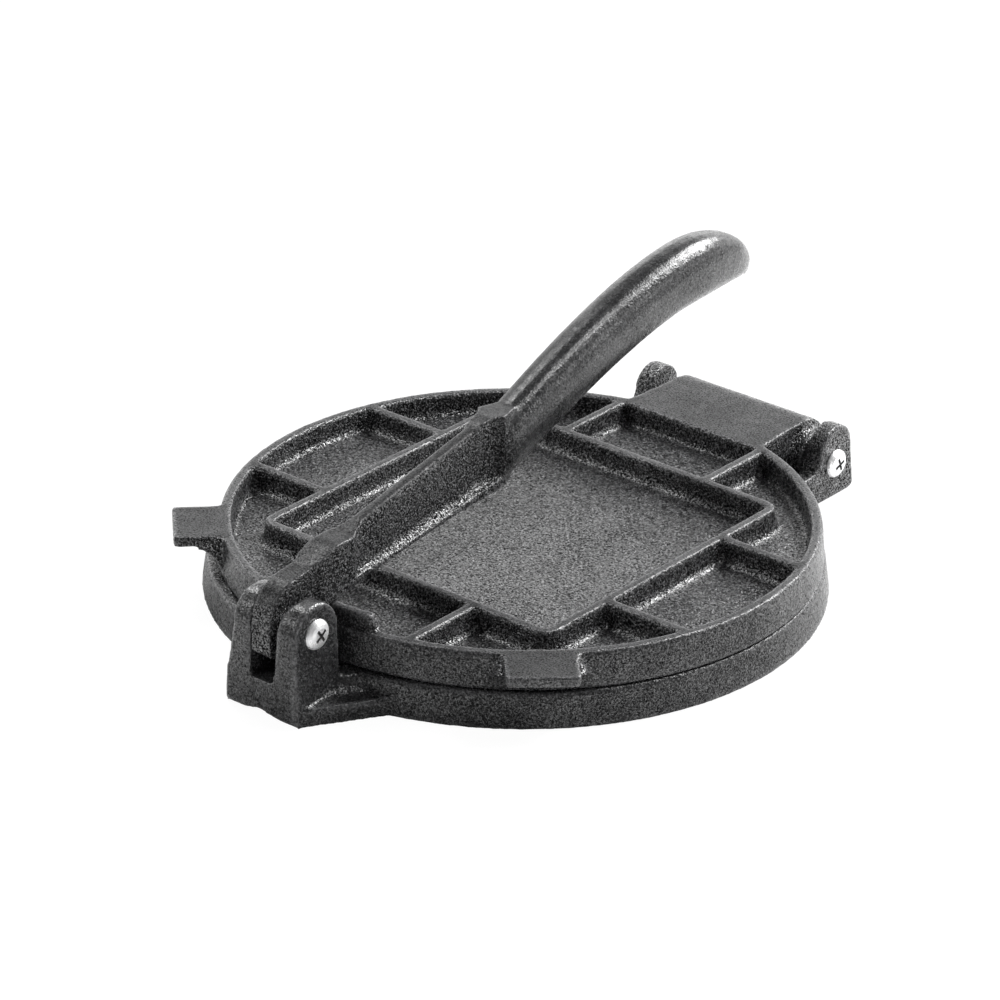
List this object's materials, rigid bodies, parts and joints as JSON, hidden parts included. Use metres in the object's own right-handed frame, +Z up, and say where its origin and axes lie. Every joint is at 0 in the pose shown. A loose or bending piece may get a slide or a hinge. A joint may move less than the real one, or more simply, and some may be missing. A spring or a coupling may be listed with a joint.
{
  "type": "tortilla press",
  "caption": "Round cast-iron press on a table: a ribbed upper plate hinged at the rear closes on a round base under a front pressing lever.",
  "frame": {"origin": "centre of the round base, on the table under it", "axes": "+X to the right seen from the lever's pivot, +Y from the lever's pivot to the rear hinge, +Z up"},
  "size_m": [0.261, 0.3244, 0.1189],
  "materials": {
    "base_iron": "seasoned sand-cast, semi-matt",
    "plate_iron": "seasoned sand-cast, semi-matt",
    "lever_iron": "seasoned sand-cast, semi-matt",
    "screw_steel": "bright zinc"
  },
  "bodies": {
    "base": {"base_plate": "base_iron", "lever_screw": "screw_steel", "hinge_screw_right": "screw_steel", "hinge_screw_left": "screw_steel", "hinge_nut_right": "screw_steel", "hinge_nut_left": "screw_steel"},
    "plate": {"top_plate": "plate_iron"},
    "handle": {"lever": "lever_iron"}
  },
  "joints": [
    {"name": "lever_pivot", "type": "hinge", "parent": "base", "child": "handle", "pos_m": [0, -0.1445, 0.0375], "axis": [1, 0, 0], "range_deg": [0, 165]},
    {"name": "top_plate_hinge", "type": "hinge", "parent": "base", "child": "plate", "pos_m": [0.0024, 0.1513, 0.0162], "axis": [-1, 0, 0], "range_deg": [0, 13.5]}
  ],
  "couplings": [
    {"joint": "top_plate_hinge", "follows": "lever_pivot", "ratio": 0.08}
  ]
}
